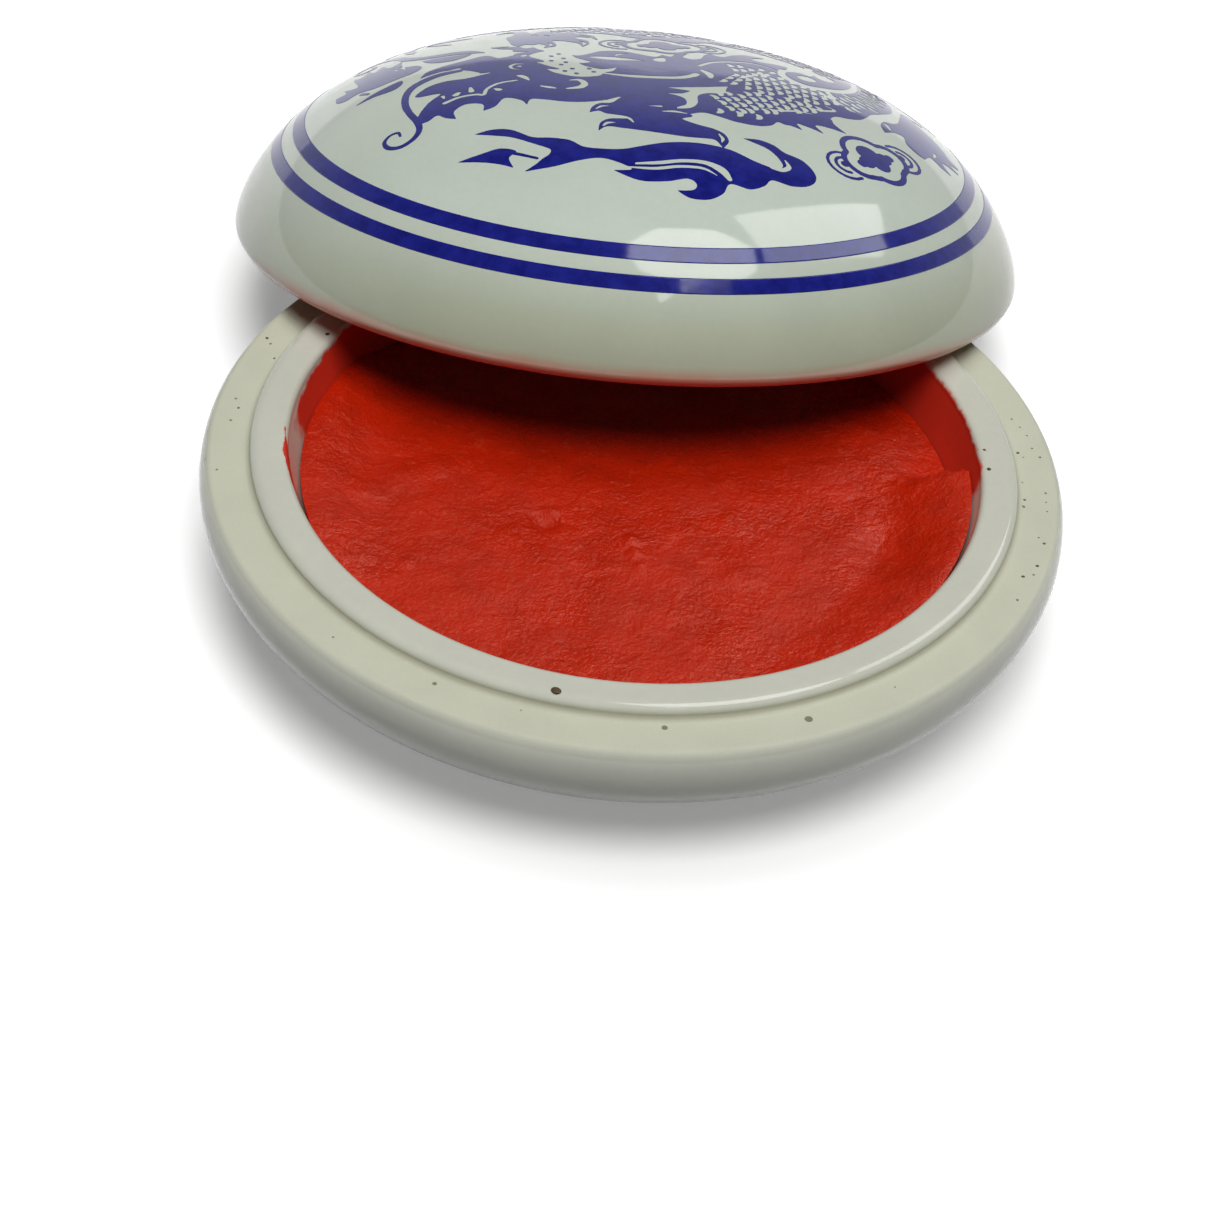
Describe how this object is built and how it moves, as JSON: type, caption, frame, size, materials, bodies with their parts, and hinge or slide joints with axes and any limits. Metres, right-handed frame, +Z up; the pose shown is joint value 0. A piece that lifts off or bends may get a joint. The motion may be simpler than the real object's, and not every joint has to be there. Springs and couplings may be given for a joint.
{
  "type": "seal paste box",
  "caption": "Round shallow porcelain dish filled with red seal paste, with a domed lift-off lid left ajar, leaning across the dish's collar.",
  "frame": {"origin": "middle of the dish's foot ring, on the surface that the dish stands on", "axes": "+Z up, +Y towards the side that the lid leans on, +X to the right seen from the open side"},
  "size_m": [0.0829, 0.117, 0.0341],
  "materials": {
    "dish_porcelain": "clear gloss glaze over greyish white porcelain, with an unglazed ledge and foot ring",
    "lid_porcelain": "clear gloss glaze over greyish white porcelain with a cobalt blue print, and an unglazed rim",
    "seal_paste": "rough, oily vermilion paste with fine fibres"
  },
  "bodies": {
    "base": {"base": "dish_porcelain", "seal_paste": "seal_paste"},
    "lid": {"lid": "lid_porcelain"}
  },
  "joints": [
    {"name": "lid_lift", "type": "slide", "parent": "base", "child": "lid", "axis": [0, 0, 1], "range_m": [0, 0.06]}
  ]
}
